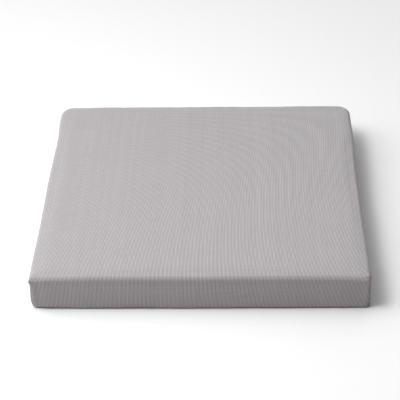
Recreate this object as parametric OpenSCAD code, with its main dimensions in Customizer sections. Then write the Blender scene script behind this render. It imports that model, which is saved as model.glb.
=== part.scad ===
// Flat pressure relief pad for a chair or bed: a foam core in a film liner, inside a
// zipped cloth cover. The pad lies on its base at z = 0, its front edge faces -Y and
// its zip runs along the back edge, which faces +Y.

/* [Pad] */
// Width of the pad, left to right
pad_w = 450; // [300:5:600]
// Depth of the pad, front to back
pad_d = 450; // [300:5:600]
// Height of the pad
pad_h = 50; // [46:1:70]
// Radius of the upright corners
corner_r = 9; // [8:1:20]
// Radius of the edge around the top
top_edge_r = 6; // [4:0.5:7]
// Radius of the edge around the base
base_edge_r = 4; // [3:0.5:5]

/* [Cover] */
// Thickness of the woven cover cloth
cloth_t = 1; // [0.6:0.1:1.2]
// Thickness of the film liner
film_t = 0.3; // [0.2:0.05:0.4]
// Distance from each end of the zip's cloth strips to the side of the pad
border_end = 24; // [22:1:40]

/* [Foam] */
// Thickness of the base foam sheet, with the gap under it
base_foam_h = 13.5; // [10:0.5:16]
// Thickness of the castellated middle layer
core_h = 20; // [17:1:20]
// Width of the firm foam edges
edge_foam_w = 40; // [30:1:60]
// Number of foam cells along each side of the core
cells = 9; // [4:1:12]
// Width of the slots between the cells
slot_w = 4; // [2:0.5:6]
// Depth of the slots between the cells
slot_h = 15; // [4:1:16]

/* [Zip] */
// Spacing of the coil's loops
coil_pitch = 2.6; // [2.2:0.1:4]
// Length of the puller from its pin to its tip
puller_l = 20; // [12:1:20]

/* [Hidden] */

$fn = 48;
far = 2 * (pad_w + pad_d);
eps = 0.5;

cloth_colour = [0.72, 0.70, 0.71];
base_colour = [0.36, 0.35, 0.36];
tape_colour = [0.58, 0.56, 0.57];
metal_colour = [0.66, 0.66, 0.68];

// each layer starts this far inside the pad's outline
cover_gap = 0.5;
film_gap = 0.2;
liner_inset = cloth_t + cover_gap;
foam_inset = liner_inset + film_t + film_gap;

// heights
core_z = base_foam_h;
memory_z = core_z + core_h;
weld_z = 8;
flap_z = pad_h - top_edge_r - 0.7;
zip_z = pad_h / 2;

// the back border dips in towards the zip
label_t = 0.3;
label_l = 30;
wall_y = pad_d / 2 - label_t;
sewn_y = pad_d / 2 - 5.1;
dip_half = 14;
hem_half = 8;
mouth_half = 5.5;
groove_y = pad_d / 2 - 9.1;
groove_half = dip_half + 0.5;

// zip tape, coil and end tabs
strip_l = pad_w - 2 * border_end;
end_tab_l = 6.5;
tip_gap = 3.5;
closed_x = strip_l / 2 - 20;
open_x = end_tab_l + tip_gap + puller_l - strip_l / 2;
tape_t = 0.6;
tape_y = sewn_y - cloth_t - tape_t / 2;
tape_half = 11;
coil_t = 1.6;
coil_gap = 1;
loop_l = 1.7;
loop_w = 1.3;
bead_w = 1;
coil_half = coil_gap / 2 + loop_l + bead_w;
coil_end_gap = 7;
coil_first_x = open_x - coil_end_gap;
coil_last_x = closed_x + coil_end_gap;
loops = floor((coil_last_x - coil_first_x) / coil_pitch);
stop_l = 2.4;

// slider
slider_l = 13;
slider_half = 4.4;
plate_t = 1;
plate_gap = 2.2;
running_gap = 0.3;
bridge_w = 0.6;
lug_r = 1.5;
lug_w = 3;
pin_r = 0.65;
pin_bore_r = 0.72;
pivot_y = tape_y + plate_gap / 2 + plate_t + 1.6;

// puller
puller_t = 1;
puller_half = 3.5;
window_half = 2.2;
window_l = 5.5;

// ---- shared shapes ----

// rectangle with four equal round corners
module round_plan(w, d, r) {
    square([w, d - 2 * r], center = true);
    square([w - 2 * r, d], center = true);
    for (x = [-1, 1], y = [-1, 1])
        translate([x * (w / 2 - r), y * (d / 2 - r)]) circle(r);
}

// upright section that stands on the x axis, with its own corner radius top and bottom
module round_section(w, h, r_base, r_top) {
    translate([-w / 2, r_base]) square([w, h - r_base - r_top]);
    for (end = [[r_base, r_base], [r_top, h - r_top]]) {
        r = end[0];
        translate([r - w / 2, end[1] - r]) square([w - 2 * r, 2 * r]);
        for (x = [-1, 1])
            translate([x * (w / 2 - r), end[1]]) circle(r);
    }
}

// the pad's outer shape, moved in by inset on every side
module soft_block(inset) {
    w = pad_w - 2 * inset;
    d = pad_d - 2 * inset;
    h = pad_h - 2 * inset;
    translate([0, 0, inset]) intersection() {
        linear_extrude(h) round_plan(w, d, corner_r - inset);
        rotate([90, 0, 0])
            linear_extrude(d + 2, center = true)
                round_section(w, h, base_edge_r - inset, top_edge_r - inset);
        rotate([90, 0, 90])
            linear_extrude(w + 2, center = true)
                round_section(d, h, base_edge_r - inset, top_edge_r - inset);
    }
}

// slab of space between two heights, used to cut the layers apart
module layer(z_low, z_high) {
    translate([-far / 2, -far / 2, z_low]) cube([far, far, z_high - z_low]);
}

// everything inside the cover, with a groove along the back that leaves room for the zip
module filling(inset) {
    half = groove_half + inset - liner_inset;
    difference() {
        soft_block(inset);
        translate([-far / 2, groove_y - inset + liner_inset, zip_z - half])
            cube([far, far, 2 * half]);
    }
}

// cloth strip along x: an outline of [y, z] points and the same outline one cloth inwards
module cloth_strip(outline) {
    inner = [for (i = [len(outline) - 1:-1:0]) outline[i] - [cloth_t, 0]];
    rotate([90, 0, 90])
        linear_extrude(strip_l, center = true)
            polygon(concat(outline, inner));
}

// ---- cloth cover ----

// space that the zip's strips fill in the back of the cover
module back_opening() {
    translate([-strip_l / 2, pad_d / 2 - corner_r, cloth_t])
        cube([strip_l, 2 * corner_r, flap_z - cloth_t]);
}

module cover_shell() {
    difference() {
        soft_block(0);
        soft_block(cloth_t);
    }
}

module cover_top_panel() {
    color(cloth_colour)
        difference() {
            cover_shell();
            layer(-eps, cloth_t);
            back_opening();
        }
}

module cover_base_panel() {
    color(base_colour)
        intersection() {
            cover_shell();
            layer(-eps, cloth_t);
        }
}

module cover_back_upper_strip() {
    color(cloth_colour)
        cloth_strip([
            [wall_y, flap_z], [wall_y, zip_z + dip_half],
            [sewn_y, zip_z + hem_half], [sewn_y, zip_z + mouth_half]
        ]);
}

module cover_back_lower_strip() {
    color(cloth_colour)
        cloth_strip([
            [sewn_y, zip_z - mouth_half], [sewn_y, zip_z - hem_half],
            [wall_y, zip_z - dip_half], [wall_y, base_edge_r], [wall_y - 0.4, cloth_t]
        ]);
}

module care_label() {
    color("white")
        translate([-pad_w / 4, wall_y, base_edge_r + 0.5])
            cube([label_l, label_t, zip_z - dip_half - base_edge_r - 1]);
}

// ---- zip ----

// cloth patch over one end of the zip, inside the back border
module zip_end_tab(side) {
    half = dip_half - 1.2;
    x_mid = side * (strip_l - end_tab_l) / 2;
    color(cloth_colour)
        translate([x_mid - end_tab_l / 2, pad_d / 2 - cloth_t + 0.1, zip_z - half])
            cube([end_tab_l, cloth_t - 0.1, 2 * half]);
}

module zip_left_end_tab() {
    zip_end_tab(-1);
}

module zip_right_end_tab() {
    zip_end_tab(1);
}

// tape, coil and stops are drawn for the upper half and mirrored for the lower half
module zip_half(side) {
    translate([0, tape_y, zip_z])
        mirror([0, 0, side < 0 ? 1 : 0]) children();
}

module zip_tape() {
    color(tape_colour)
        translate([-strip_l / 2, -tape_t / 2, coil_half])
            cube([strip_l, tape_t, tape_half - coil_half]);
}

module zip_upper_tape() {
    zip_half(1) zip_tape();
}

module zip_lower_tape() {
    zip_half(-1) zip_tape();
}

// one continuous coil, flattened: a bead with a loop at every pitch
module zip_coil() {
    teeth = [
        for (i = [0:loops - 1])
            let (x = coil_first_x + i * coil_pitch)
            each [
                [x, coil_gap / 2], [x + loop_w, coil_gap / 2],
                [x + loop_w, coil_gap / 2 + loop_l],
                [x + coil_pitch, coil_gap / 2 + loop_l]
            ]
    ];
    end_x = coil_first_x + loops * coil_pitch;
    color([0.50, 0.48, 0.49])
        rotate([90, 0, 0])
            linear_extrude(coil_t, center = true)
                polygon(concat(teeth, [[end_x, coil_half], [coil_first_x, coil_half]]));
}

module zip_upper_coil() {
    zip_half(1) zip_coil();
}

module zip_lower_coil() {
    zip_half(-1) zip_coil();
}

// metal clip crimped on the edge of one tape
module zip_clip(x, z_low) {
    clip_half = 1.1;
    grip = 1.2;
    color(metal_colour)
        difference() {
            translate([x, -clip_half, z_low])
                cube([stop_l, 2 * clip_half, coil_half + grip - z_low]);
            translate([x - eps, -tape_t / 2, coil_half])
                cube([stop_l + 2 * eps, tape_t, grip + eps]);
        }
}

module zip_top_stops() {
    for (side = [-1, 1])
        zip_half(side) zip_clip(closed_x + slider_l / 2 + 1, coil_gap / 2 + 0.2);
}

module zip_bottom_stop() {
    for (side = [-1, 1])
        zip_half(side) zip_clip(coil_first_x - stop_l - 0.3, 0);
}

module slider_plate(y_low) {
    translate([0, y_low + plate_t, 0])
        rotate([90, 0, 0])
            linear_extrude(plate_t) round_plan(slider_l, 2 * slider_half, 1.8);
}

// flange that closes one long side of a plate over the tape's edge
module slider_flange(side, y_low, y_high) {
    inner = coil_half + 0.4;
    translate([1.8 - slider_l / 2, y_low, side > 0 ? inner : -slider_half])
        cube([slider_l - 3.6, y_high - y_low, slider_half - inner]);
}

module zip_slider() {
    gap_half = plate_gap / 2;
    tape_clear = tape_t / 2 + running_gap;
    bridge_l = 3;
    color(metal_colour)
        translate([closed_x, tape_y, zip_z]) {
            slider_plate(gap_half);
            slider_plate(-gap_half - plate_t);
            for (side = [-1, 1]) {
                slider_flange(side, tape_clear, gap_half + plate_t / 2);
                slider_flange(side, -gap_half - plate_t / 2, -tape_clear);
            }
            translate([2, -gap_half - plate_t / 2, -bridge_w / 2])
                cube([bridge_l, plate_gap + plate_t, bridge_w]);
            difference() {
                union() {
                    translate([0, pivot_y - tape_y, -lug_w / 2])
                        cylinder(h = lug_w, r = lug_r);
                    translate([-lug_r, gap_half + plate_t / 2, -lug_w / 2])
                        cube([2 * lug_r, pivot_y - tape_y - gap_half - plate_t / 2, lug_w]);
                }
                translate([0, pivot_y - tape_y, -lug_w])
                    cylinder(h = 2 * lug_w, r = pin_bore_r);
            }
        }
}

module zip_puller() {
    nose = 1;
    color(metal_colour)
        translate([closed_x, pivot_y, zip_z]) {
            rotate([90, 0, 0])
                linear_extrude(puller_t, center = true)
                    difference() {
                        translate([(nose - puller_l) / 2, 0])
                            round_plan(puller_l + nose, 2 * puller_half, 0.9);
                        translate([-window_l, -window_half])
                            square([window_l + 2 * nose, 2 * window_half]);
                    }
            translate([0, 0, -window_half - 0.8])
                cylinder(h = 2 * window_half + 1.6, r = pin_r);
        }
}

// ---- film liner ----

module liner_bag() {
    difference() {
        filling(liner_inset);
        filling(liner_inset + film_t);
    }
}

module liner_upper_film() {
    color([0.86, 0.90, 0.94])
        intersection() {
            liner_bag();
            layer(weld_z, pad_h);
        }
}

module liner_lower_film() {
    color([0.76, 0.82, 0.90])
        intersection() {
            liner_bag();
            layer(0, weld_z);
        }
}

// ---- foam ----

module memory_foam_layer() {
    color([0.96, 0.93, 0.80])
        intersection() {
            filling(foam_inset);
            layer(memory_z, pad_h);
        }
}

module base_foam() {
    color([0.80, 0.82, 0.85])
        intersection() {
            filling(foam_inset);
            layer(0, core_z);
        }
}

// half the width and half the depth of the core, inside the firm edges
core_half_w = pad_w / 2 - foam_inset - edge_foam_w;
core_half_d = pad_d / 2 - foam_inset - edge_foam_w;

module castellated_core() {
    pitch_x = 2 * core_half_w / cells;
    pitch_y = 2 * core_half_d / cells;
    color([0.62, 0.76, 0.86])
        difference() {
            translate([-core_half_w, -core_half_d, core_z])
                cube([2 * core_half_w, 2 * core_half_d, core_h]);
            for (i = [1:cells - 1]) {
                translate([i * pitch_x - core_half_w - slot_w / 2, -far / 2, memory_z - slot_h])
                    cube([slot_w, far, core_h]);
                translate([-far / 2, i * pitch_y - core_half_d - slot_w / 2, memory_z - slot_h])
                    cube([far, slot_w, core_h]);
            }
        }
}

// part of the middle layer between two corners given in plan
module edge_foam(low, high) {
    color([0.88, 0.88, 0.90])
        intersection() {
            filling(foam_inset);
            translate([low[0], low[1], core_z])
                cube([high[0] - low[0], high[1] - low[1], core_h]);
        }
}

module front_edge_foam() {
    edge_foam([-far, -far], [far, -core_half_d]);
}

module back_edge_foam() {
    edge_foam([-far, core_half_d], [far, far]);
}

module left_edge_foam() {
    edge_foam([-far, -core_half_d], [-core_half_w, core_half_d]);
}

module right_edge_foam() {
    edge_foam([core_half_w, -core_half_d], [far, core_half_d]);
}

cover_top_panel();
cover_back_upper_strip();
cover_back_lower_strip();
cover_base_panel();
care_label();
zip_left_end_tab();
zip_right_end_tab();
zip_upper_tape();
zip_lower_tape();
zip_upper_coil();
zip_lower_coil();
zip_top_stops();
zip_bottom_stop();
zip_slider();
zip_puller();
liner_upper_film();
liner_lower_film();
memory_foam_layer();
castellated_core();
front_edge_foam();
back_edge_foam();
left_edge_foam();
right_edge_foam();
base_foam();
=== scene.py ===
"""Looks of a zipped, foam filled pressure relief pad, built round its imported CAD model.

The pad lies on its base at z = 0. Its front edge faces -Y and its zip faces +Y. All
lengths are in metres.
"""

import math

import bmesh
import bpy
import numpy as np
from mathutils import Matrix, Vector
from mathutils.kdtree import KDTree


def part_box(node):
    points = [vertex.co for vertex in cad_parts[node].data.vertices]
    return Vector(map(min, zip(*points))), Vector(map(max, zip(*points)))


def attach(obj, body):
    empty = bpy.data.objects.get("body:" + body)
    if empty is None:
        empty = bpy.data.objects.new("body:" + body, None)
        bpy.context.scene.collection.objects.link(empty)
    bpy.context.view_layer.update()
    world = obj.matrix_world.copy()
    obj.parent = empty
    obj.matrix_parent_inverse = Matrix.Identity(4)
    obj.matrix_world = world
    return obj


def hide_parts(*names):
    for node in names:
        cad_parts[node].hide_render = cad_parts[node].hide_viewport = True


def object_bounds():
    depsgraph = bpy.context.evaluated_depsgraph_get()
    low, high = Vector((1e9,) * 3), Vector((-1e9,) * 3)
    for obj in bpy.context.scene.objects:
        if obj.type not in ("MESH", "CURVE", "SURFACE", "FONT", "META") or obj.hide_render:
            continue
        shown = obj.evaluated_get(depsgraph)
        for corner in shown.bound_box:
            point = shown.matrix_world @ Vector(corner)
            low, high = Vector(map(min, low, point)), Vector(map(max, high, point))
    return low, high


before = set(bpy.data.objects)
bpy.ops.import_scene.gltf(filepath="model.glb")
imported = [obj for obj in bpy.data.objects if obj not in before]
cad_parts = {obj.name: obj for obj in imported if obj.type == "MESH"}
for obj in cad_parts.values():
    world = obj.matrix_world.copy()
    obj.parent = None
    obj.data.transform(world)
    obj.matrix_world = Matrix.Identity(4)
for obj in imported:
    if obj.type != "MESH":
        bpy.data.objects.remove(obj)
CAD_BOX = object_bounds()

MM = 0.001
LOW, HIGH = CAD_BOX
HALF_W = (HIGH.x - LOW.x) / 2
HALF_D = (HIGH.y - LOW.y) / 2
HEIGHT = HIGH.z

# ---- camera ----

CAMERA = {
    "azimuth": 2.07,
    "elevation": 33.77,
    "roll": -1.451,
    "distance": 2.0004,
    "target": (-0.0041, -0.0043, 0.025),
    "lens": 124.66,
    "sensor": 36.0,
}


def make_camera(spec):
    """A camera that looks at the target from the given angles, turned by its roll."""
    azimuth, elevation, roll = (
        math.radians(spec[k]) for k in ("azimuth", "elevation", "roll")
    )
    level = math.cos(elevation)
    back = Vector((math.sin(azimuth) * level, -math.cos(azimuth) * level, math.sin(elevation)))
    right = (-back).cross(Vector((0, 0, 1))).normalized()
    up = right.cross(-back).normalized()
    turned_right = right * math.cos(roll) + up * math.sin(roll)
    turned_up = up * math.cos(roll) - right * math.sin(roll)
    data = bpy.data.cameras.new("camera")
    data.lens, data.sensor_width = spec["lens"], spec["sensor"]
    data.clip_start, data.clip_end = 0.05, 50
    camera = bpy.data.objects.new("camera", data)
    bpy.context.scene.collection.objects.link(camera)
    axes = Matrix((turned_right, turned_up, back)).transposed().to_4x4()
    camera.matrix_world = (
        Matrix.Translation(Vector(spec["target"]) + back * spec["distance"]) @ axes
    )
    bpy.context.scene.camera = camera


make_camera(CAMERA)

# ---- node helpers ----


class Nodes:
    """A short way to write a material's node tree."""

    def __init__(self, name):
        self.material = bpy.data.materials.new(name)
        self.material.use_nodes = True
        self.tree = self.material.node_tree
        self.tree.nodes.clear()
        self.shader = self.tree.nodes.new("ShaderNodeBsdfPrincipled")
        out = self.tree.nodes.new("ShaderNodeOutputMaterial")
        self.link(self.shader.outputs[0], out.inputs["Surface"])

    def link(self, a, b):
        self.tree.links.new(a, b)

    def put(self, value, socket):
        """Sets a socket to a number or colour, or links an output to it."""
        if isinstance(value, bpy.types.NodeSocket):
            self.link(value, socket)
        elif isinstance(value, (tuple, list)) and len(value) == 3 and socket.type == "RGBA":
            socket.default_value = (*value, 1)
        else:
            socket.default_value = value

    def math(self, operation, *values, clamp=False):
        node = self.tree.nodes.new("ShaderNodeMath")
        node.operation, node.use_clamp = operation, clamp
        for value, socket in zip(values, node.inputs):
            self.put(value, socket)
        return node.outputs[0]

    def mix(self, factor, a, b, blend="MIX"):
        node = self.tree.nodes.new("ShaderNodeMix")
        node.data_type, node.blend_type = "RGBA", blend
        sockets = [s for s in node.inputs if s.enabled]
        for value, socket in zip((factor, a, b), sockets):
            self.put(value, socket)
        return next(s for s in node.outputs if s.enabled)

    def noise(self, vector, scale, detail=2.0, roughness=0.5):
        node = self.tree.nodes.new("ShaderNodeTexNoise")
        self.put(vector, node.inputs["Vector"])
        node.inputs["Scale"].default_value = scale
        node.inputs["Detail"].default_value = detail
        node.inputs["Roughness"].default_value = roughness
        return node.outputs["Fac"]

    def streaks(self, *pairs, detail=3.0):
        """Noise over values that are each stretched by a scale of their own."""
        where = self.join(*(self.math("MULTIPLY", value, scale) for value, scale in pairs))
        return self.noise(where, 1.0, detail)

    def voronoi(self, vector, scale):
        node = self.tree.nodes.new("ShaderNodeTexVoronoi")
        self.put(vector, node.inputs["Vector"])
        node.inputs["Scale"].default_value = scale
        return node.outputs["Distance"]

    def random(self, value):
        """A random number from 0 to 1 for each whole number."""
        node = self.tree.nodes.new("ShaderNodeTexWhiteNoise")
        node.noise_dimensions = "1D"
        self.put(value, node.inputs["W"])
        return node.outputs["Value"]

    def point(self):
        return self.tree.nodes.new("ShaderNodeTexCoord").outputs["Object"]

    def attribute(self, name):
        node = self.tree.nodes.new("ShaderNodeAttribute")
        node.attribute_name = name
        return node.outputs["Vector"]

    def split(self, vector):
        node = self.tree.nodes.new("ShaderNodeSeparateXYZ")
        self.link(vector, node.inputs[0])
        return node.outputs[0], node.outputs[1], node.outputs[2]

    def join(self, x, y, z=0.0):
        node = self.tree.nodes.new("ShaderNodeCombineXYZ")
        for value, socket in zip((x, y, z), node.inputs):
            self.put(value, socket)
        return node.outputs[0]

    def bump(self, height, distance, strength):
        node = self.tree.nodes.new("ShaderNodeBump")
        node.inputs["Strength"].default_value = strength
        node.inputs["Distance"].default_value = distance
        self.put(height, node.inputs["Height"])
        return node.outputs[0]

    def finish(self, colour, normal=None, roughness=0.8, **constants):
        """Links the colour, normal and roughness, and sets constants on the shader."""
        self.put(colour, self.shader.inputs["Base Color"])
        self.put(roughness, self.shader.inputs["Roughness"])
        if normal is not None:
            self.put(normal, self.shader.inputs["Normal"])
        for name, value in constants.items():
            self.put(value, self.shader.inputs[name.replace("_", " ")])
        return self.material


def wave(n, value, period, phase=0.0):
    """A sine from 0 to 1 with that period."""
    turned = n.math("MULTIPLY_ADD", value, 2 * math.pi / period, phase)
    return n.math("MULTIPLY_ADD", n.math("SINE", turned), 0.5, 0.5)


def watered(n, u, v, count, spread, slant, bow):
    """A faint tone wave: count lines per metre of u, and spread more per metre along v.
    slant and bow tilt and curve the lines."""
    across = n.math("MULTIPLY", u, n.math("MULTIPLY_ADD", v, spread, count))
    along = n.math("MULTIPLY", v, n.math("MULTIPLY_ADD", v, bow, slant))
    return wave(n, n.math("ADD", across, along), 1.0)


# The photo's pixels beat with the ribs and show as curved stripes. Real cloth has none.
# These two waves give that look from the photo's side, fitted to the stripes in the photo.
FINE_WATER = {"count": 253.0, "spread": 276.0, "slant": -42.9, "bow": -113.7}
WIDE_WATER = {"count": 82.0, "spread": -409.0, "slant": 48.8, "bow": 113.7}


def rib_weave(name, dark, light, rib, pick, depth):
    """Ribbed cloth: round ribs along the attribute's second axis, crossed by fine yarns."""
    n = Nodes(name)
    u, v, _ = n.split(n.attribute("weave"))
    wander = n.streaks((u, 9.0), (v, 5.0), detail=2.0)
    u = n.math("MULTIPLY_ADD", wander, 0.6 * rib, u)
    ribs = wave(n, u, rib)
    index = n.math("FLOOR", n.math("DIVIDE", u, rib))
    picks = wave(n, v, pick, n.math("MULTIPLY", index, math.pi))
    height = n.math("MULTIPLY", ribs, n.math("MULTIPLY_ADD", picks, 0.35, 0.65))
    slub = n.streaks((u, 950.0), (v, 45.0))
    weft = n.streaks((u, 25.0), (v, 420.0))
    cloud = n.noise(n.join(u, v), 14.0, 3.0)
    tone = 1.0
    for value, spread in (
        (watered(n, u, v, **FINE_WATER), 0.17),
        (watered(n, u, v, **WIDE_WATER), 0.055),
        (n.random(index), 0.06),
        (slub, 0.12),
        (weft, 0.14),
        (cloud, 0.04),
    ):
        tone = n.math("MULTIPLY", tone, n.math("MULTIPLY_ADD", value, spread, 1 - spread / 2))
    # painted shade: the cloth is painted dark in the hollows between ribs and yarns and light on
    # their crests
    colour = n.mix(height, dark, light)
    colour = n.mix(1.0, colour, n.join(tone, tone, tone), "MULTIPLY")
    normal = n.bump(height, depth, 0.6)
    return n.finish(
        colour, normal, 0.86,
        Sheen_Weight=0.15, Sheen_Roughness=0.5, Specular_IOR_Level=0.25,
    )


def plain_weave(name, dark, light, yarn, depth):
    """Plain woven cloth: warp and weft yarns that pass over each other in turn."""
    n = Nodes(name)
    u, v, _ = n.split(n.attribute("weave"))
    over = wave(n, u, yarn, 0.0)
    index = n.math("FLOOR", n.math("DIVIDE", u, yarn))
    under = wave(n, v, yarn, n.math("MULTIPLY", index, math.pi))
    height = n.math("MULTIPLY", n.math("MULTIPLY_ADD", over, 0.5, 0.5), under)
    streak = n.streaks((u, 90.0), (v, 700.0))
    cloud = n.noise(n.join(u, v), 22.0, 3.0)
    tone = n.math("MULTIPLY_ADD", streak, 0.25, 0.875)
    tone = n.math("MULTIPLY", tone, n.math("MULTIPLY_ADD", cloud, 0.12, 0.94))
    # painted shade: each yarn is painted darker where it dips under the crossing yarn
    colour = n.mix(height, dark, light)
    colour = n.mix(1.0, colour, n.join(tone, tone, tone), "MULTIPLY")
    return n.finish(
        colour, n.bump(height, depth, 0.7), 0.85,
        Sheen_Weight=0.1, Sheen_Roughness=0.5, Specular_IOR_Level=0.3,
    )


def speckled(name, dark, light, scale, roughness):
    """Plastic, rubber or thread with fine uneven tone."""
    n = Nodes(name)
    fine = n.noise(n.point(), scale, 3.0)
    wide = n.noise(n.point(), scale / 12, 2.0)
    colour = n.mix(n.math("MULTIPLY_ADD", wide, 0.5, n.math("MULTIPLY", fine, 0.5)), dark, light)
    rough = n.math("MULTIPLY_ADD", fine, 0.15, roughness - 0.07)
    return n.finish(colour, n.bump(fine, 0.05 * MM, 0.35), rough, Specular_IOR_Level=0.4)


def brushed_metal(name, dark, light):
    """Die cast and plated metal, a little brushed and dulled."""
    n = Nodes(name)
    x, y, z = n.split(n.point())
    lines = n.streaks((x, 300.0), (y, 4000.0), (z, 4000.0))
    dull = n.noise(n.point(), 500.0, 4.0)
    colour = n.mix(n.math("MULTIPLY_ADD", dull, 0.6, n.math("MULTIPLY", lines, 0.4)), dark, light)
    rough = n.math("MULTIPLY_ADD", dull, 0.25, 0.22)
    return n.finish(colour, n.bump(lines, 0.02 * MM, 0.3), rough, Metallic=1.0)


# dark is the cloth in the painted shade of the hollows between ribs, light is the cloth on the
# rib crests
COVER_CLOTH = rib_weave(
    "ribbed_cover_cloth",
    dark=(0.240, 0.220, 0.227),
    light=(0.510, 0.468, 0.481),
    rib=1.056 * MM,
    pick=0.8 * MM,
    depth=0.12 * MM,
)

# ---- shape helpers ----


def smooth_noise(x, y, size, seed):
    """Value noise from -1 to 1 whose bumps are about size across."""
    side = 64
    lattice = np.random.default_rng(seed).uniform(-1, 1, (side, side))
    gx, gy = np.asarray(x) / size + 17.3, np.asarray(y) / size + 9.7
    ix, iy = np.floor(gx).astype(int), np.floor(gy).astype(int)
    fx, fy = gx - ix, gy - iy
    fx, fy = fx * fx * (3 - 2 * fx), fy * fy * (3 - 2 * fy)

    def at(i, j):
        return lattice[(ix + i) % side, (iy + j) % side]

    near = at(0, 0) * (1 - fx) + at(1, 0) * fx
    far = at(0, 1) * (1 - fx) + at(1, 1) * fx
    return near * (1 - fy) + far * fy


def grid_lines(half, fine, fine_zone, coarse, growth=1.25, snap=()):
    """Positions from -half to half, close together near both ends."""
    distance, step, found = 0.0, fine, [0.0]
    while distance < half - coarse * 0.6:
        if distance >= fine_zone:
            step = min(coarse, step * growth)
        distance += step
        found.append(distance)
    inner = half - np.array([d for d in found if d < half - coarse * 0.4])
    lines = np.concatenate([-inner, [0.0], inner[::-1]])
    for value in snap:
        lines[np.abs(lines - value).argmin()] = value
    return lines


def box_grid(xs, ys, zs, base=True):
    """Vertices and outward quads of a box with these grid lines, and each quad's side."""
    nx, ny, nz = len(xs), len(ys), len(zs)
    numbers, points, quads, sides = {}, [], [], []

    def vertex(i, j, k):
        key = (i, j, k)
        if key not in numbers:
            numbers[key] = len(points)
            points.append((xs[i], ys[j], zs[k]))
        return numbers[key]

    def quad(side, *corners):
        quads.append([vertex(*c) for c in corners])
        sides.append(side)

    for i in range(nx - 1):
        for j in range(ny - 1):
            k = nz - 1
            quad("top", (i, j, k), (i + 1, j, k), (i + 1, j + 1, k), (i, j + 1, k))
            if base:
                quad("base", (i, j, 0), (i, j + 1, 0), (i + 1, j + 1, 0), (i + 1, j, 0))
    for k in range(nz - 1):
        for i in range(nx - 1):
            quad("front", (i, 0, k), (i + 1, 0, k), (i + 1, 0, k + 1), (i, 0, k + 1))
            j = ny - 1
            quad("back", (i + 1, j, k), (i, j, k), (i, j, k + 1), (i + 1, j, k + 1))
        for j in range(ny - 1):
            quad("left", (0, j + 1, k), (0, j, k), (0, j, k + 1), (0, j + 1, k + 1))
            i = nx - 1
            quad("right", (i, j, k), (i, j + 1, k), (i, j + 1, k + 1), (i, j, k + 1))
    return np.array(points), quads, np.array(sides)


def round_off(box, half_w, half_d, front_r, back_r, low, high, base_r, top_r):
    """Box points moved onto a solid with round upright corners, top edge and base edge."""
    x, y, z = box.T.copy()
    sx, sy = np.where(x < 0, -1.0, 1.0), np.where(y < 0, -1.0, 1.0)
    ax, ay = np.abs(x), np.abs(y)
    r = np.where(y < 0, front_r, back_r)
    qx, qy = ax - (half_w - r), ay - (half_d - r)
    corner = (qx > 0) & (qy > 0)
    most = np.maximum(qx, qy)
    length = np.maximum(np.hypot(qx, qy), 1e-9)
    ax = np.where(corner, half_w - r + qx * most / length, ax)
    ay = np.where(corner, half_d - r + qy * most / length, ay)
    inset = np.where(corner, r - most, np.minimum(half_w - ax, half_d - ay))
    sideways = (half_w - ax) < (half_d - ay)
    out_x = np.where(corner, qx / length, np.where(sideways, 1.0, 0.0))
    out_y = np.where(corner, qy / length, np.where(sideways, 0.0, 1.0))
    for edge_r, depth, sign, level in (
        (top_r, high - z, 1, high),
        (base_r, z - low, -1, low),
    ):
        a, b = edge_r - inset, edge_r - depth
        on_edge = (a > 0) & (b > 0)
        a, b = np.where(on_edge, a, 1.0), np.where(on_edge, b, 1.0)
        scale = np.maximum(a, b) / np.hypot(a, b)
        moved_in = np.where(on_edge, a * (1 - scale), 0.0)
        ax, ay = ax - out_x * moved_in, ay - out_y * moved_in
        z = np.where(on_edge, level - sign * (edge_r - b * scale), z)
    return np.stack([ax * sx, ay * sy, z], 1)


def normals_of(points, quads):
    """Each point's outward normal, from the quads round it."""
    q = np.array(quads)
    across = np.cross(points[q[:, 2]] - points[q[:, 0]], points[q[:, 3]] - points[q[:, 1]])
    total = np.zeros_like(points)
    for corner in range(4):
        np.add.at(total, q[:, corner], across)
    return total / np.maximum(np.linalg.norm(total, axis=1, keepdims=True), 1e-12)


def make_object(name, points, faces, material, smooth=True, weave=None):
    """A mesh object, with the cloth's own flat coordinates if weave is given."""
    mesh = bpy.data.meshes.new(name)
    mesh.from_pydata([tuple(p) for p in points], [], faces)
    mesh.polygons.foreach_set("use_smooth", [smooth] * len(mesh.polygons))
    if weave is not None:
        data = mesh.attributes.new("weave", "FLOAT_VECTOR", "CORNER")
        data.data.foreach_set("vector", np.asarray(weave, np.float32).ravel())
    mesh.materials.append(material)
    mesh.update()
    made = bpy.data.objects.new(name, mesh)
    bpy.context.scene.collection.objects.link(made)
    return made


def thicken(made, thickness):
    """Gives an open sheet its thickness, on the inner side."""
    solid = made.modifiers.new("thickness", "SOLIDIFY")
    solid.thickness, solid.offset = thickness, -1
    solid.use_even_offset = False
    graph = bpy.context.evaluated_depsgraph_get()
    mesh = bpy.data.meshes.new_from_object(made.evaluated_get(graph))
    made.modifiers.clear()
    made.data = mesh


def joined(name, parts, material):
    """One mesh object from several lists of points and faces."""
    points, faces = [], []
    for some_points, some_faces in parts:
        start = len(points)
        points += [tuple(p) for p in some_points]
        faces += [[start + k for k in face] for face in some_faces]
    return make_object(name, points, faces, material)


# ---- cover ----

FRONT_R = 8 * MM
BACK_R = 19 * MM
TOP_R = 6 * MM
BASE_R = 2.6 * MM
CLOTH_T = 0.9 * MM
PUFF = 1.5 * MM
PUFF_GRID = 5.5 * MM
PUFF_PRESSURE = 4
PUFF_FRAMES = 20
STRIP_LOW, STRIP_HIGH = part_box("cover_back_upper_strip")
FLAP_Z = STRIP_HIGH.z
OPENING_X = STRIP_HIGH.x
BASE_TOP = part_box("cover_base_panel")[1].z


def pad_points(box):
    """Points of a plain box moved onto the pad's outline."""
    return round_off(box, HALF_W, HALF_D, FRONT_R, BACK_R, 0.0, HEIGHT, BASE_R, TOP_R)


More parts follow.
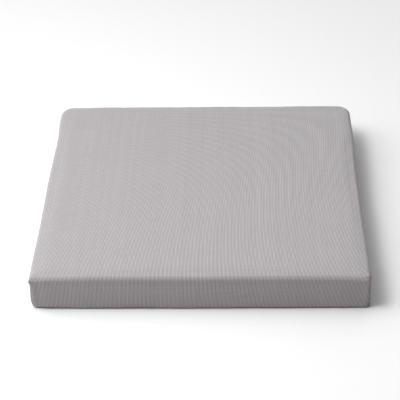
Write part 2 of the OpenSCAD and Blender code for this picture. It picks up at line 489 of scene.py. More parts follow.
def puff_field():
    """How a cloth shell over the pad moves when it is blown up: points and moves."""
    xs = np.linspace(-HALF_W, HALF_W, round(2 * HALF_W / PUFF_GRID) + 1)
    ys = np.linspace(-HALF_D, HALF_D, round(2 * HALF_D / PUFF_GRID) + 1)
    zs = np.linspace(0, HEIGHT, round(HEIGHT / PUFF_GRID) + 1)
    box, quads, _ = box_grid(xs, ys, zs)
    rest = pad_points(box)
    shell = make_object("puff_shell", rest, quads, COVER_CLOTH)
    held = shell.vertex_groups.new(name="held")
    seam = np.minimum(HALF_W - np.abs(box[:, 0]), HALF_D - np.abs(box[:, 1]))
    upright = np.hypot(HALF_W - np.abs(box[:, 0]), HALF_D - np.abs(box[:, 1]))
    for number in range(len(rest)):
        if box[number, 2] < 0.5 * MM or (seam[number] < MM and upright[number] < 4 * MM):
            held.add([number], 1.0, "REPLACE")
    cloth = shell.modifiers.new("cloth", "CLOTH")
    settings = cloth.settings
    settings.quality = 6
    settings.mass = 0.3
    settings.tension_stiffness = settings.compression_stiffness = 40
    settings.shear_stiffness = 10
    settings.bending_stiffness = 2
    settings.use_pressure = True
    settings.uniform_pressure_force = PUFF_PRESSURE
    settings.vertex_group_mass = "held"
    settings.effector_weights.gravity = 0
    cloth.collision_settings.use_collision = False
    scene = bpy.context.scene
    cloth.point_cache.frame_start, cloth.point_cache.frame_end = 1, PUFF_FRAMES
    for number in range(1, PUFF_FRAMES + 1):
        scene.frame_set(number)
    graph = bpy.context.evaluated_depsgraph_get()
    moved = np.array([v.co for v in shell.evaluated_get(graph).data.vertices])
    scene.frame_set(1)
    bpy.data.objects.remove(shell)
    return rest, moved - rest


def plain_puff(points):
    """A stand-in for the simulated puff: a low crown over the top, less on the walls."""
    across = np.clip(1 - (points[:, 0] / HALF_W) ** 4, 0, 1)
    along = np.clip(1 - (points[:, 1] / HALF_D) ** 4, 0, 1)
    return np.outer(PUFF * across * along, (0, 0, 1))


def spread_field(field, points):
    """The field's moves at other points, held to the cap."""
    rest, moves = field
    size = np.linalg.norm(moves, axis=1, keepdims=True)
    held = moves / np.maximum(size, 1e-12) * (PUFF * np.tanh(size / (2.5 * PUFF)))
    tree = KDTree(len(rest))
    for number, point in enumerate(rest):
        tree.insert(point, number)
    tree.balance()
    found = np.zeros_like(points)
    for number, point in enumerate(points):
        near = tree.find_n(point, 6)
        weights = np.array([1 / (d + 0.4 * MM) ** 2 for _, _, d in near])
        found[number] = weights @ held[[i for _, i, _ in near]] / weights.sum()
    return found


def cover_shell():
    """The whole outer cover above the base panel, as one open mesh."""
    xs = grid_lines(HALF_W, 0.9 * MM, 16 * MM, 5 * MM, snap=(-OPENING_X, OPENING_X))
    ys = grid_lines(HALF_D, 0.9 * MM, 16 * MM, 5 * MM)
    rows = np.linspace(BASE_TOP, FLAP_Z, 32)
    zs = np.concatenate([rows, np.linspace(FLAP_Z, HEIGHT, 7)[1:]])
    box, quads, sides = box_grid(xs, ys, zs, base=False)
    return box, pad_points(box), quads, sides


def bell(x, width):
    """A smooth bump: 1 at x = 0, fading over that width."""
    return np.exp(-((x / width) ** 2))


# how far each corner's foot tucks in, how far its top stands out, its fold's height
CORNERS = {
    (-1, -1): (4.6 * MM, 3.4 * MM, 0.4 * MM),
    (1, -1): (0.6 * MM, 0.5 * MM, 1.1 * MM),
    (-1, 1): (1.6 * MM, 0.2 * MM, 0.2 * MM),
    (1, 1): (1.6 * MM, 0.2 * MM, 0.2 * MM),
}
# the way across each corner's fold
FOLD_X, FOLD_Y = 0.82, 0.57
# soft bulges of the side walls: side, middle along y, half length, how far out
WALL_BULGES = (
    (1, 0.125, 0.055, 1.9 * MM),
    (1, -0.170, 0.050, 1.0 * MM),
    (-1, 0.185, 0.030, 1.6 * MM),
    (-1, 0.020, 0.060, 1.1 * MM),
    (-1, -0.206, 0.014, -0.4 * MM),
)


def crown(box, points):
    """Arches the top and its rim up between the corners, and bows the side walls."""
    u, v = box[:, 0] / HALF_W, box[:, 1] / HALF_D
    share = np.clip(points[:, 2] / HEIGHT, 0, 1) ** 2
    across = 1 - u**4
    rise = np.where(v > 0, 0.5 + 0.8 * v, 0.5) * across - 1.3 * np.abs(u * v) ** 7
    made = points.copy()
    made[:, 2] += rise * MM * share
    level = np.clip(np.sin(np.clip(points[:, 2] / HEIGHT, 0, 1) * math.pi * 0.62), 0, 1)
    for side, middle, length, out in WALL_BULGES:
        near = np.clip((side * u - 0.9) / 0.1, 0, 1) ** 2
        made[:, 0] += side * out * bell(points[:, 1] - middle, length) * near * level
    return made


def sew_corners(box, points, quads):
    """Adds each upright seam's groove and puckers, the creases that run from its top, and
    one longer fold across the corner of the top."""
    normals = normals_of(points, quads)
    lift = np.zeros(len(points))
    shift = np.zeros_like(points)
    for seed, ((sx, sy), (tuck, stand, fold)) in enumerate(CORNERS.items()):
        dx, dy = HALF_W - sx * box[:, 0], HALF_D - sy * box[:, 1]
        z, down = points[:, 2], HEIGHT - box[:, 2]
        away = np.hypot(dx, dy)
        on_wall = (np.minimum(dx, dy) < 0.1 * MM) | (down > 0.1 * MM)
        side = np.where(dx > dy, 1.0, -1.0)
        fade = np.where(on_wall, np.clip(0.35 + down / (5 * MM), 0, 1), bell(away, 5 * MM) * 0.35)
        # the seam's groove, and the raised cloth beside it
        lift -= 0.9 * MM * bell(away, 0.9 * MM) * fade
        lift += 0.35 * MM * bell(away - 2.6 * MM, 1.5 * MM) * fade
        # puckers on both sides of the seam
        drift = 2.2 * smooth_noise(z, side * 0.05, 11 * MM, 20 + seed)
        pucker = np.sin(2 * math.pi * z / (6.5 * MM) + 1.3 * side + drift)
        rough = smooth_noise(z + side * 0.3, away, 5 * MM, 30 + seed)
        reach = np.exp(-away / (6 * MM)) * np.clip(away / (1.5 * MM), 0, 1) * on_wall
        lift += (0.30 * pucker + 0.25 * rough) * MM * reach
        # creases that fan out from the seam's top
        turn = np.arctan2(np.where(on_wall, down, dy), np.where(on_wall, np.maximum(dx, dy), dx))
        spokes = np.sin(9.0 * turn + 4.0 * smooth_noise(turn, away, 0.5, 40 + seed) + seed)
        span = np.hypot(away, down)
        lift += 0.32 * MM * spokes * bell(span - 9 * MM, 8 * MM) * np.clip(span / (4 * MM), 0, 1)
        aside = FOLD_X * dx - FOLD_Y * dy + 3.2 * MM
        along = bell(FOLD_Y * dx + FOLD_X * dy - 20 * MM, 8 * MM)
        ridge = bell(aside, 1.7 * MM) - 0.5 * bell(aside + 3.6 * MM, 2.4 * MM)
        lift += np.where(on_wall, 0, fold * ridge * along)
        # the foot tucks in, and the top of the seam stands out
        low_down = np.clip(1 - z / (13 * MM), 0, 1) ** 1.6
        pull = tuck * low_down * np.exp(-away / (13 * MM))
        push = stand * bell(z - 44 * MM, 4.5 * MM) * np.exp(-away / (4 * MM))
        inward = (push - pull) / math.sqrt(2)
        shift += np.outer(inward, (sx, sy, 0))
    return points + normals * lift[:, None] + shift


def settle(box, points, quads):
    """Slight hollows and ripples of cloth lying on foam, and the pull along the base seam."""
    normals = normals_of(points, quads)
    x, y, z = points.T
    lift = 0.28 * MM * smooth_noise(x, y, 60 * MM, 3) + 0.10 * MM * smooth_noise(x, y, 21 * MM, 4)
    wall = box[:, 2] < HEIGHT - 0.1 * MM
    along = np.where(HALF_D - np.abs(y) < HALF_W - np.abs(x), x, y + 0.7)
    low = np.clip(1 - z / (16 * MM), 0, 1)
    gather = smooth_noise(along, z * 0.4, 12 * MM, 5) * 0.30 * MM + 0.12 * MM * smooth_noise(
        along, z, 4 * MM, 6
    )
    lift += np.where(wall, low * gather, 0)
    lift -= np.where(wall, 0.5 * MM * bell(z - 2.2 * MM, 1.0 * MM), 0)
    rim = bell(HALF_D - y, 12 * MM) * (y > 0) * ~wall
    lift += rim * 0.22 * MM * smooth_noise(x, y * 0.3, 9 * MM, 7)
    return points + normals * lift[:, None]


def weave_of(box, quads, sides):
    """The cloth's flat coordinates at each quad's corners. Ribs run along the second."""
    ways = {"top": (0, 0), "front": (0, -1), "back": (0, 1), "left": (-1, 0), "right": (1, 0)}
    found = []
    for quad, side in zip(quads, sides):
        out_x, out_y = ways[side]
        for x, y, z in box[quad]:
            found.append((x + out_x * (HEIGHT - z), y + out_y * (HEIGHT - z), 0))
    return np.array(found)


box, points, quads, sides = cover_shell()
field = puff_field()
points = points + (plain_puff(points) if field is None else spread_field(field, points))
points = settle(box, crown(box, points), quads)
points = sew_corners(box, points, quads)


def outside_opening(quad, side):
    """Whether a quad is clear of the opening for the zip's strips."""
    middle = box[quad].mean(0)
    return side != "back" or abs(middle[0]) > OPENING_X or middle[2] > FLAP_Z


kept = [k for k, quad in enumerate(quads) if outside_opening(quad, sides[k])]
quads, sides = [quads[k] for k in kept], sides[kept]
cover = make_object(
    "cover_top_cloth", points, quads, COVER_CLOTH, weave=weave_of(box, quads, sides)
)
thicken(cover, CLOTH_T)
loose = bmesh.new()
loose.from_mesh(cover.data)
bmesh.ops.delete(loose, geom=[v for v in loose.verts if not v.link_faces], context="VERTS")
loose.to_mesh(cover.data)
loose.free()


def settle_piece(made, slot, *nodes):
    """Rides a piece on the pad, in place of those CAD nodes if any. The slot argument is not
    used.
    """
    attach(made, "pad")
    if nodes:
        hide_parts(*nodes)


settle_piece(cover, "cover_cloth", "cover_top_panel")


def tuck_in(points, box):
    """Base points moved in at the corners, with the foot of the cover over them."""
    shift = np.zeros_like(points)
    for (sx, sy), (tuck, _, _) in CORNERS.items():
        away = np.hypot(HALF_W - sx * box[:, 0], HALF_D - sy * box[:, 1])
        pull = -tuck * np.exp(-away / (13 * MM)) / math.sqrt(2)
        shift += np.outer(pull, (sx, sy, 0))
    return points + shift


GRIP_CLOTH = plain_weave(
    "grip_base_cloth", dark=(0.060, 0.058, 0.060), light=(0.16, 0.155, 0.158),
    yarn=0.8 * MM, depth=0.15 * MM,
)
GRIP_DOTS = speckled("grip_dots", (0.035, 0.034, 0.035), (0.06, 0.058, 0.06), 900.0, 0.42)
DOT_PITCH = 12 * MM
DOT_R = 1.7 * MM
DOT_H = 0.35 * MM
DOT_SIDES = 10


def make_base():
    """The base cloth, just inside the cover's foot, and its printed grip dots."""
    inset = 1.0 * MM
    xs = grid_lines(HALF_W - inset, 1.5 * MM, 9 * MM, 9 * MM)
    ys = grid_lines(HALF_D - inset, 1.5 * MM, 9 * MM, 9 * MM)
    zs = np.array([DOT_H, DOT_H + 0.35 * MM, BASE_TOP + 0.1 * MM])
    box, quads, _ = box_grid(xs, ys, zs)
    points = round_off(
        box, HALF_W - inset, HALF_D - inset, FRONT_R, BACK_R, zs[0], zs[-1], 0.3 * MM, 0.3 * MM
    )
    points = tuck_in(points, box)
    flat = [(box[k][0], box[k][1], 0) for quad in quads for k in quad]
    base = make_object("cover_base_cloth", points, quads, GRIP_CLOTH, weave=flat)
    settle_piece(base, "base_cloth", "cover_base_panel")
    count = int((HALF_W - 12 * MM) / DOT_PITCH)
    spots = np.arange(-count, count + 1) * DOT_PITCH
    turns = np.arange(DOT_SIDES) * 2 * math.pi / DOT_SIDES
    ring = [(DOT_R * math.cos(a), DOT_R * math.sin(a)) for a in turns]
    levels = ((1.0, DOT_H + 0.05 * MM), (0.88, 0.12 * MM), (0.55, 0.0))
    faces = []
    for start in (0, DOT_SIDES):
        for k in range(DOT_SIDES):
            a, b = start + k, start + (k + 1) % DOT_SIDES
            faces.append((a, a + DOT_SIDES, b + DOT_SIDES, b))
    faces.append([2 * DOT_SIDES + k for k in range(DOT_SIDES)][::-1])
    faces.append(range(DOT_SIDES))
    dots = [
        ([(x + c * share, y + d * share, z) for share, z in levels for c, d in ring], faces)
        for x in spots
        for y in spots
    ]
    settle_piece(joined("base_grip_dots", dots, GRIP_DOTS), "base_cloth")


make_base()

# ---- zip border ----

STRIP_T = 0.8 * MM
HEM_L = 7 * MM
LOWER_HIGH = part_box("cover_back_lower_strip")[1]
TAPE_LOW, TAPE_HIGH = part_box("zip_upper_tape")
MOUTH_TOP, MOUTH_BASE = STRIP_LOW.z, LOWER_HIGH.z
ZIP_Z = (MOUTH_TOP + MOUTH_BASE) / 2
TAPE_Y = (TAPE_LOW.y + TAPE_HIGH.y) / 2
WALL_Y = STRIP_HIGH.y
SEWN_Y = TAPE_HIGH.y + 1.7 * MM


def smooth_path(corners, step):
    """A path through these corners, each one rounded, with even steps."""
    corners = np.array(corners, float)
    points = [corners[0]]
    for before, at, after in zip(corners, corners[1:], corners[2:]):
        size = min(np.linalg.norm(at - before), np.linalg.norm(after - at)) * 0.45
        a = at + (before - at) / np.linalg.norm(before - at) * size
        b = at + (after - at) / np.linalg.norm(after - at) * size
        for t in np.linspace(0, 1, 6):
            points.append((1 - t) ** 2 * a + 2 * t * (1 - t) * at + t * t * b)
    points = np.array([*points, corners[-1]])
    lengths = np.concatenate([[0], np.cumsum(np.linalg.norm(np.diff(points, axis=0), axis=1))])
    marks = np.linspace(0, lengths[-1], max(3, round(lengths[-1] / step)))
    return np.stack([np.interp(marks, lengths, points[:, k]) for k in (0, 1)], 1)


def band(name, path, thickness, xs, material, ripple=None):
    """A cloth band swept along X. path is its middle line in (y, z), ripple moves it in y."""
    ahead = np.gradient(path, axis=0)
    ahead /= np.linalg.norm(ahead, axis=1, keepdims=True)
    across = np.stack([ahead[:, 1], -ahead[:, 0]], 1) * thickness / 2
    loop = np.concatenate([path + across, (path - across)[::-1]])
    run = np.concatenate([[0], np.cumsum(np.linalg.norm(np.diff(path, axis=0), axis=1))])
    along = np.concatenate([run, run[::-1]])
    count = len(loop)
    points = np.array([(x, y, z) for x in xs for y, z in loop])
    if ripple is not None:
        points[:, 1] += ripple(points[:, 0], points[:, 2])
    faces, flat = [], []
    for i in range(len(xs) - 1):
        for k in range(count):
            j = (k + 1) % count
            faces.append((i * count + k, i * count + j, (i + 1) * count + j, (i + 1) * count + k))
            flat += [(xs[i], along[k], 0), (xs[i], along[j], 0)]
            flat += [(xs[i + 1], along[j], 0), (xs[i + 1], along[k], 0)]
    half = len(path)
    for i, turn in ((0, 1), (len(xs) - 1, -1)):
        for k in range(half - 1):
            face = [k, count - 1 - k, count - 2 - k, k + 1]
            faces.append([i * count + m for m in face[::turn]])
            flat += [(xs[i], along[m], 0) for m in face[::turn]]
    return make_object(name, points, faces, material, weave=flat)


def tube(path, radius, sides=6):
    """Points and faces of a round tube along a path, with its ends tapered shut."""
    path = np.asarray(path, float)
    ahead = np.gradient(path, axis=0)
    ahead /= np.linalg.norm(ahead, axis=1, keepdims=True)
    up = np.array([0.0, 0.0, 1.0]) if abs(ahead[0][2]) < 0.9 else np.array([1.0, 0.0, 0.0])
    points, faces = [], []
    for i, (at, way) in enumerate(zip(path, ahead)):
        side = np.cross(way, up)
        side /= np.linalg.norm(side)
        up = np.cross(side, way)
        r = radius * (0.55 if i in (0, len(path) - 1) else 1.0)
        for k in range(sides):
            a = 2 * math.pi * k / sides
            points.append(at + (side * math.cos(a) + up * math.sin(a)) * r)
    for i in range(len(path) - 1):
        for k in range(sides):
            j = (k + 1) % sides
            faces.append((i * sides + k, i * sides + j, (i + 1) * sides + j, (i + 1) * sides + k))
    faces.append(list(range(sides - 1, -1, -1)))
    faces.append([(len(path) - 1) * sides + k for k in range(sides)])
    return points, faces


THREAD = speckled("sewing_thread", (0.30, 0.28, 0.29), (0.44, 0.42, 0.43), 2600.0, 0.6)
STITCH_L = 2.5 * MM
STITCH_STEP = STITCH_L + 0.7 * MM
THREAD_R = 0.2 * MM


def stitch_row(starts, way):
    """Stitches at these points, each one a short thread along way that bows out along +Y."""
    way, out = np.array(way, float), np.array([0.0, 1.0, 0.0])
    shares = np.linspace(0, 1, 6)
    lifts = (np.sin(shares * math.pi) ** 0.5 * 0.34 - 0.2) * MM
    bowed = [way * STITCH_L * t + out * h for t, h in zip(shares, lifts)]
    return [tube(np.array(start, float) + bowed, THREAD_R) for start in starts]


def strip_ripple(seed):
    """The slight waves of a strip between its hem and its outer seam."""
    def ripple(x, z):
        free = np.clip(1 - np.abs(np.abs(z - ZIP_Z) - 11 * MM) / (7.5 * MM), 0, 1)
        wide = smooth_noise(x, 0.0 * x, 34 * MM, seed)
        fine = smooth_noise(x, z, 7 * MM, seed + 1)
        return (0.55 * wide + 0.22 * fine) * MM * free
    return ripple


def make_strips():
    """The two cloth strips beside the zip. Each one dips in and ends in a folded hem."""
    xs = np.linspace(-OPENING_X - 2 * MM, OPENING_X + 2 * MM, 202)
    inner = WALL_Y - STRIP_T / 2 - 0.2 * MM
    stitches = []
    for node, sign, seed, outer_z in (
        ("cover_back_upper_strip", 1, 50, STRIP_HIGH.z + 1.5 * MM),
        ("cover_back_lower_strip", -1, 60, BASE_TOP - 0.2 * MM),
    ):
        edge = ZIP_Z + sign * (MOUTH_TOP - ZIP_Z)
        path = smooth_path(
            [
                (inner - 0.55 * MM, outer_z),
                (inner - 0.5 * MM, outer_z - sign * 1.2 * MM),
                (inner + 0.1 * MM, outer_z - sign * 3.2 * MM),
                (inner, ZIP_Z + sign * 14 * MM),
                (SEWN_Y - 0.2 * MM, ZIP_Z + sign * 8.6 * MM),
                (SEWN_Y, edge + sign * 1.2 * MM),
                (SEWN_Y - 0.1 * MM, edge),
                (SEWN_Y - 0.9 * MM, edge),
                (SEWN_Y - 1.0 * MM, edge + sign * 1.5 * MM),
                (SEWN_Y - 1.0 * MM, edge + sign * 3.6 * MM),
            ],
            0.45 * MM,
        )
        strip = band(
            f"{node}_cloth", path[::sign], STRIP_T, xs, COVER_CLOTH, strip_ripple(seed)
        )
        settle_piece(strip, "cover_cloth", node)
        count = int((2 * OPENING_X - 6 * MM) / STITCH_STEP)
        starts = (np.arange(count) - count / 2) * STITCH_STEP
        z = edge + sign * 1.9 * MM
        stitches += stitch_row([(x, SEWN_Y + STRIP_T / 2, z) for x in starts], (1, 0, 0))
    settle_piece(joined("zip_border_stitches", stitches, THREAD), "cover_cloth")


make_strips()

# ---- zip ----

ZIP_TAPE = plain_weave(
    "woven_zip_tape", dark=(0.17, 0.162, 0.166), light=(0.36, 0.342, 0.35),
    yarn=0.55 * MM, depth=0.12 * MM,
)
COIL_PLASTIC = speckled(
    "zip_coil_plastic", (0.33, 0.315, 0.322), (0.38, 0.362, 0.37), 1500.0, 0.38
)
ZIP_METAL = brushed_metal("zip_metal", (0.33, 0.33, 0.335), (0.52, 0.52, 0.525))
COIL_PITCH = 1.3 * MM
COIL_R = 0.36 * MM
# the loops' heads stop this far from the middle, so the slider's bridge passes between
HEAD_Z = 0.34 * MM + COIL_R
HEEL_Z = 3.0 * MM


def make_tapes():
    """The two woven tapes, held under the strips' hems."""
    for side, sign in (("upper", 1), ("lower", -1)):
        node = f"zip_{side}_tape"
        low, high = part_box(node)
        near = low.z if sign > 0 else high.z
        far = (high.z if sign > 0 else low.z) + sign * 1.2 * MM
        path = smooth_path(
            [(TAPE_Y, near - sign * 1.6 * MM), (TAPE_Y, near + sign * 2 * MM), (TAPE_Y, far)],
            0.6 * MM,
        )
        xs = np.linspace(low.x, high.x, 160)
        tape = band(
            f"{node}_cloth", path[::sign], 0.55 * MM, xs, ZIP_TAPE,
            lambda x, z: 0.06 * MM * smooth_noise(x, z, 9 * MM, 71),
        )
        settle_piece(tape, "zip_tape", node)


def make_coils():
    """Two long coils that meet along the middle, with a row of thread on each."""
    low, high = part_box("zip_upper_coil")
    for node, sign, offset in (("zip_upper_coil", 1, 0.0), ("zip_lower_coil", -1, 0.5)):
        turns = int((high.x - low.x) / COIL_PITCH) - 1
        t = np.arange(turns * 10 + 1) / 10
        angle = 2 * math.pi * t
        reach = (HEEL_Z - HEAD_Z) / 2
        middle = ZIP_Z + sign * (HEEL_Z + HEAD_Z) / 2
        path = np.stack(
            [
                low.x + (t + offset) * COIL_PITCH + 0.22 * COIL_PITCH * np.sin(angle),
                TAPE_Y + 0.68 * MM * np.sin(angle),
                middle - sign * reach * np.cos(angle),
            ],
            1,
        )
        coil = joined(f"{node}_loops", [tube(path, COIL_R)], COIL_PLASTIC)
        settle_piece(coil, "zip_coil", node)
    stitches = []
    pitch = 1.9 * MM
    slanted = ((0.0, 0.2, 0.5), (0.3, 0.5, 0.2), (0.7, 0.5, -0.2), (1.0, 0.2, -0.5))
    for sign in (1, -1):
        z = ZIP_Z + sign * 3.6 * MM
        for k in range(int((high.x - low.x) / pitch)):
            x = low.x + k * pitch
            path = [(x + a * MM, TAPE_Y + b * MM, z + c * MM) for a, b, c in slanted]
            stitches.append(tube(path, 0.17 * MM, 5))
    settle_piece(joined("zip_coil_stitches", stitches, THREAD), "zip_tape")


def finish_metal(node):
    """A CAD metal part with rounded arrises and a worn metal finish."""
    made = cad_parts[node]
    bevel = made.modifiers.new("arris", "BEVEL")
    bevel.width, bevel.segments, bevel.limit_method = 0.18 * MM, 2, "ANGLE"
    bevel.angle_limit = math.radians(35)
    made.data.materials.clear()
    made.data.materials.append(ZIP_METAL)


make_tapes()
make_coils()
for node in ("zip_slider", "zip_puller", "zip_top_stops", "zip_bottom_stop"):
    finish_metal(node)


def patch(name, low, high, radius, swell, material):
    """A small sewn patch of cloth: a round cornered pad with a soft edge."""
    centre = (low + high) / 2
    half_x, half_z = (high.x - low.x) / 2, (high.z - low.z) / 2
    thick = high.y - low.y
    xs = grid_lines(half_x, 0.25 * MM, 0.8 * MM, 0.9 * MM)
    zs = grid_lines(half_z, 0.25 * MM, 0.8 * MM, 0.9 * MM)
    box, quads, _ = box_grid(xs, zs, np.array([0, thick * 0.5, thick]))
    points = round_off(box, half_x, half_z, radius, radius, 0, thick, thick * 0.3, thick * 0.45)
    middle = np.clip(1 - (box[:, 0] / half_x) ** 4, 0, 1)
    middle = middle * np.clip(1 - (box[:, 1] / half_z) ** 4, 0, 1)
    points[:, 2] += swell * middle * (box[:, 2] > thick * 0.25)
    points[:, 2] += 0.08 * MM * smooth_noise(box[:, 0], box[:, 1], 2.5 * MM, 81) * middle
    flat = [(box[k][0], box[k][1], 0) for quad in quads for k in quad]
    placed = np.stack([centre.x - points[:, 0], low.y + points[:, 2], centre.z + points[:, 1]], 1)
    return make_object(name, placed, quads, material, weave=flat)


LABEL_CLOTH = plain_weave(
    "woven_label", dark=(0.52, 0.51, 0.50), light=(0.80, 0.79, 0.77),
    yarn=0.35 * MM, depth=0.05 * MM,
)


def make_tabs():
    """A sewn cloth tab over each end of the zip, and a blank care label by the base."""
    for side, node in (("left", "zip_left_end_tab"), ("right", "zip_right_end_tab")):
        low, high = (corner.copy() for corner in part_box(node))
        low.x, high.x = low.x - 0.5 * MM, high.x + 0.5 * MM
        low.y = WALL_Y - 0.5 * MM
        tab = patch(f"zip_{side}_end_tab_cloth", low, high, 1.2 * MM, 0.35 * MM, COVER_CLOTH)
        settle_piece(tab, "cover_cloth", node)
        edge_x, edge_z = 1.2 * MM, 1.3 * MM
        count = int((high.z - low.z - 2 * edge_z) / STITCH_STEP)
        zs = (low.z + high.z - count * STITCH_STEP) / 2 + np.arange(count) * STITCH_STEP
        xs = (low.x + edge_x, high.x - edge_x)
        parts = stitch_row([(x, high.y + 0.15 * MM, z) for x in xs for z in zs], (0, 0, 1))
        settle_piece(joined(f"zip_{side}_end_tab_stitches", parts, THREAD), "cover_cloth")
    low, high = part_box("care_label")
    near, far, turn = WALL_Y + 0.15 * MM, WALL_Y + 0.6 * MM, 0.25 * MM
    path = smooth_path(
        [
            (near, high.z), (near, low.z + turn), (near + turn, low.z), (far - turn, low.z),
            (far, low.z + turn), (far + 0.1 * MM, high.z - 1.5 * MM), (far, high.z),
        ],
        0.3 * MM,
    )
    label = band(
        "care_label_ribbon", path[::-1], 0.25 * MM, np.linspace(low.x, high.x, 40), LABEL_CLOTH,
        lambda x, z: 0.12 * MM * smooth_noise(x, z, 8 * MM, 91),
    )
    settle_piece(label, "label_cloth", "care_label")


make_tabs()

# ---- filling ----

GROOVE_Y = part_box("back_edge_foam")[1].y
GROOVE_HALF = 14.5 * MM
FOAM_INSET = HALF_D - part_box("memory_foam_layer")[1].y
FOAM_SLACK = 0.35 * MM


def open_foam(name, dark, light, cell):
    """Cut foam: rounded open cells of many sizes, with painted shade in their pits, over a
    mottled tone.
    """
    n = Nodes(name)
    where = n.point()
    pores = n.voronoi(where, 1 / cell)
    small = n.voronoi(where, 2.3 / cell)
    cells = n.math("MULTIPLY_ADD", pores, 0.65, n.math("MULTIPLY", small, 0.35), clamp=True)
    mottle = n.noise(where, 45.0, 3.0)
    # painted shade: the pits of the open cells are painted darker; the mottle is the foam's own
    # tone
    tone = n.math("MULTIPLY_ADD", mottle, 0.35, n.math("MULTIPLY", cells, 0.65), clamp=True)
    colour = n.mix(tone, dark, light)
    return n.finish(
        colour, n.bump(cells, 0.4 * MM, 0.7), 0.92, Specular_IOR_Level=0.2,
        Subsurface_Weight=0.1, Subsurface_Scale=1.5 * MM,
    )


MEMORY_FOAM = open_foam("memory_foam", (0.70, 0.62, 0.42), (0.88, 0.82, 0.62), 0.9 * MM)
CORE_FOAM = open_foam("castellated_foam", (0.40, 0.52, 0.62), (0.58, 0.70, 0.78), 1.4 * MM)
FIRM_FOAM = open_foam("firm_foam", (0.42, 0.42, 0.43), (0.62, 0.62, 0.62), 1.1 * MM)


def liner_film():
    """Thin coated film with a satin face and fine creases."""
    n = Nodes("liner_film")
    where = n.point()
    crease = n.noise(where, 70.0, 6.0, 0.62)
    haze = n.noise(where, 12.0, 2.0)
    colour = n.mix(haze, (0.62, 0.66, 0.70), (0.74, 0.77, 0.80))
    rough = n.math("MULTIPLY_ADD", crease, 0.2, 0.25)
    return n.finish(
        colour, n.bump(crease, 0.8 * MM, 0.5), rough, Specular_IOR_Level=0.5, Coat_Weight=0.2
    )


LINER_FILM = liner_film()


def keep_off_zip(points, margin=0.0):
    """Points moved forward out of the groove behind the zip."""
    depth = np.abs(points[:, 2] - ZIP_Z) - GROOVE_HALF - margin
    limit = GROOVE_Y - margin + np.clip(depth / (1.2 * MM), 0, 1) * (HALF_D - GROOVE_Y)
    points[:, 1] = np.minimum(points[:, 1], limit)
    return points


def foam_block(name, node, material, slot, front_r, back_r, edge_r, seed, outer=False):
    """A cut foam block in its CAD node's box, with soft arrises and slightly uneven faces."""
    low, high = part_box(node)
    centre = np.array([(low.x + high.x) / 2, (low.y + high.y) / 2, 0])
    half_x, half_y = (high.x - low.x) / 2 - FOAM_SLACK, (high.y - low.y) / 2 - FOAM_SLACK
    coarse = min(9 * MM, half_x / 3, half_y / 3)
    xs = grid_lines(half_x, 1.0 * MM, 3 * MM, coarse, 1.4)
    ys = grid_lines(half_y, 1.0 * MM, 3 * MM, coarse, 1.4)
    steps = max(6, int((high.z - low.z) / (1.3 * MM)))
    zs = np.linspace(low.z, high.z, steps)
    box, quads, _ = box_grid(xs, ys, zs)
    points = round_off(box, half_x, half_y, front_r, back_r, low.z, high.z, edge_r, edge_r)
    normals = normals_of(points, quads)
    uneven = smooth_noise(points[:, 0] + points[:, 2], points[:, 1], 26 * MM, seed)
    points = points - normals * (0.12 * MM * (1 + uneven))[:, None] + centre
    if outer:
        points = keep_off_zip(points)
    made = make_object(name, points, quads, material)
    settle_piece(made, slot, node)


def make_core():
    """The middle layer: foam cells in rows, with slots cut down between them."""
    low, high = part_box("castellated_core")
    half = (high.x - low.x) / 2
    cells, slot, depth = 9, 4 * MM, 15 * MM
    pitch = 2 * half / cells
    # one side of a slot, from its middle out: how far across, and how far down
    side = (
        (0.25 * slot, -depth + 0.2 * MM), (0.5 * slot - 0.15 * MM, -depth + 1.2 * MM),
        (0.5 * slot, -1.0 * MM), (0.5 * slot + 0.3 * MM, -0.3 * MM),
        (0.5 * slot + 1.2 * MM, 0.0),
    )
    profile = [(-across, drop) for across, drop in reversed(side)]
    profile += [(0.0, -depth), *side, (pitch / 2, 0.25 * MM)]
    lines, heights = [-half, -half + 0.3 * MM, -half + 1.2 * MM], [-0.9 * MM, -0.3 * MM, 0.0]
    for k in range(1, cells):
        lines += [-half + k * pitch + across for across, _ in profile]
        heights += [drop for _, drop in profile]
    lines[-1], heights[-1] = half - 1.2 * MM, 0.0
    lines += [half - 0.3 * MM, half]
    heights += [-0.3 * MM, -0.9 * MM]
    lines, heights = np.array(lines), np.array(heights)
    levels = np.linspace(low.z, high.z - 2 * MM, 8)
    box, quads, _ = box_grid(lines, lines, np.append(levels, high.z))
    top = box[:, 2] > high.z - 0.1 * MM
    i = np.searchsorted(lines, box[:, 0] - 1e-9)
    j = np.searchsorted(lines, box[:, 1] - 1e-9)
    fall = np.minimum(heights[i], heights[j])
    points = box.copy()
    points[:, 2] = np.where(top, high.z + fall, box[:, 2])
    edge = np.maximum(np.abs(box[:, 0]), np.abs(box[:, 1])) > half - 0.01 * MM
    floor = fall < -2 * MM
    share = np.clip((box[:, 2] - low.z) / (high.z - low.z), 0, 1)
    points[:, 2] = np.where(
        edge & floor & ~top, low.z + share * (high.z - depth - low.z), points[:, 2]
    )
    made = make_object("castellated_core_foam", points, quads, CORE_FOAM, smooth=False)
    settle_piece(made, "core_foam", "castellated_core")


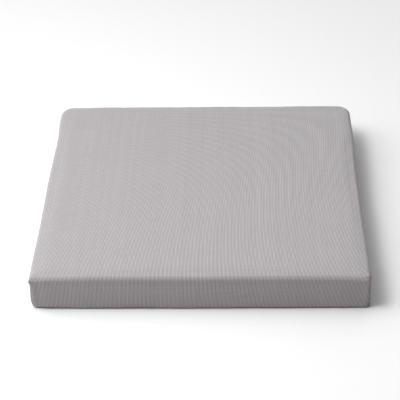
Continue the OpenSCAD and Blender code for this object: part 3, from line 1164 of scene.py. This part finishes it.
def make_films():
    """The welded liner round the foam: an upper film and a lower one, lightly creased."""
    low_z, weld_z = (corner.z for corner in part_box("liner_lower_film"))
    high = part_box("liner_upper_film")[1]
    top_z, inset = high.z - 0.3 * MM, HALF_W - high.x + 0.4 * MM
    xs = grid_lines(HALF_W - inset, 2.0 * MM, 10 * MM, 8 * MM)
    ys = grid_lines(HALF_D - inset, 2.0 * MM, 10 * MM, 8 * MM)
    for node, left_out, z_low, z_high, seed in (
        ("liner_upper_film", "base", weld_z, top_z, 101),
        ("liner_lower_film", "top", low_z, weld_z, 111),
    ):
        zs = np.linspace(z_low, z_high, max(5, int((z_high - z_low) / (2 * MM))))
        box, quads, sides = box_grid(xs, ys, zs)
        points = round_off(
            box, HALF_W - inset, HALF_D - inset, FRONT_R - inset, BACK_R - inset,
            low_z, top_z, BASE_R, TOP_R - inset,
        )
        normals = normals_of(points, quads)
        crease = smooth_noise(points[:, 0], points[:, 1], 17 * MM, seed) * smooth_noise(
            points[:, 1], points[:, 0] + points[:, 2], 31 * MM, seed + 1
        )
        points = points - normals * (0.15 * MM * (1 + crease))[:, None]
        points = keep_off_zip(tuck_in(points, box) if left_out == "top" else points, 0.3 * MM)
        keep = [quad for quad, side in zip(quads, sides) if side != left_out]
        film = make_object(f"{node}_sheet", points, keep, LINER_FILM)
        thicken(film, 0.15 * MM)
        settle_piece(film, "liner_film", node)


FOAM_FRONT_R, FOAM_BACK_R = FRONT_R - FOAM_INSET, BACK_R - FOAM_INSET
CUT_R = 1.2 * MM
foam_block(
    "memory_foam_block", "memory_foam_layer", MEMORY_FOAM, "memory_foam",
    FOAM_FRONT_R, FOAM_BACK_R, 3.5 * MM, 120, outer=True,
)
foam_block(
    "base_foam_block", "base_foam", FIRM_FOAM, "firm_foam",
    FOAM_FRONT_R, FOAM_BACK_R, 2.0 * MM, 121, outer=True,
)
for side, front_r, back_r, seed in (
    ("front", FOAM_FRONT_R, CUT_R, 122),
    ("back", CUT_R, 8 * MM, 123),
    ("left", CUT_R, CUT_R, 124),
    ("right", CUT_R, CUT_R, 124),
):
    foam_block(
        f"{side}_edge_foam_block", f"{side}_edge_foam", FIRM_FOAM, "firm_foam",
        front_r, back_r, 1.0 * MM, seed,
    )
make_core()
make_films()

# ---- stage and light ----


def make_stage():
    """A plain pale floor that runs far past the pad."""
    n = Nodes("pale_floor")
    cloud = n.noise(n.point(), 3.0)
    colour = n.mix(cloud, (0.805, 0.78, 0.786), (0.815, 0.79, 0.796))
    material = n.finish(colour, None, 0.9, Specular_IOR_Level=0.1)
    reach, drop = 14.0, 0.2 * MM
    corners = [(-reach, -reach, 0), (reach, -reach, 0), (reach, reach, 0), (-reach, reach, 0)]
    floor = make_object("floor", corners, [[0, 1, 2, 3]], material)
    floor.location.z = -drop


LOOK_AT = Vector((0, 0, 0.03))


def area_light(name, place, size, power, colour=(1, 1, 1)):
    """A square soft light that faces the pad."""
    data = bpy.data.lights.new(name, "AREA")
    data.shape, data.size, data.energy, data.color = "SQUARE", size, power, colour
    light = bpy.data.objects.new(name, data)
    light.location = place
    towards = LOOK_AT - Vector(place)
    light.rotation_mode = "QUATERNION"
    light.rotation_quaternion = towards.to_track_quat("-Z", "Y")
    bpy.context.scene.collection.objects.link(light)


COOL_WHITE = (0.965, 1.0, 0.99)


def make_world(bright, dim, side):
    """Soft light from all round: bright on one side, dim on the other."""
    world = bpy.data.worlds.new("studio")
    world.use_nodes = True
    tree = world.node_tree
    where = tree.nodes.new("ShaderNodeTexCoord").outputs["Generated"]
    towards = tree.nodes.new("ShaderNodeVectorMath")
    towards.operation = "DOT_PRODUCT"
    tree.links.new(where, towards.inputs[0])
    towards.inputs[1].default_value = side
    level = tree.nodes.new("ShaderNodeMapRange")
    level.interpolation_type = "SMOOTHSTEP"
    tree.links.new(towards.outputs["Value"], level.inputs["Value"])
    for name, value in (
        ("From Min", -0.6), ("From Max", 0.6), ("To Min", dim), ("To Max", bright)
    ):
        level.inputs[name].default_value = value
    background = tree.nodes["Background"]
    background.inputs["Color"].default_value = (*COOL_WHITE, 1)
    tree.links.new(level.outputs[0], background.inputs["Strength"])
    bpy.context.scene.world = world


make_stage()
make_world(1.00, 0.03, (-0.74, 0.67, 0.0))
area_light("key", (-1.9, -0.15, 1.95), 2.2, 46, COOL_WHITE)
area_light("near", (-0.40, -0.25, 1.15), 0.5, 6.2, COOL_WHITE)
area_light("overhead", (0.0, 2.0, 6.0), 9.0, 85)
bpy.context.scene.view_settings.view_transform = "Standard"
bpy.context.scene.view_settings.look = "None"
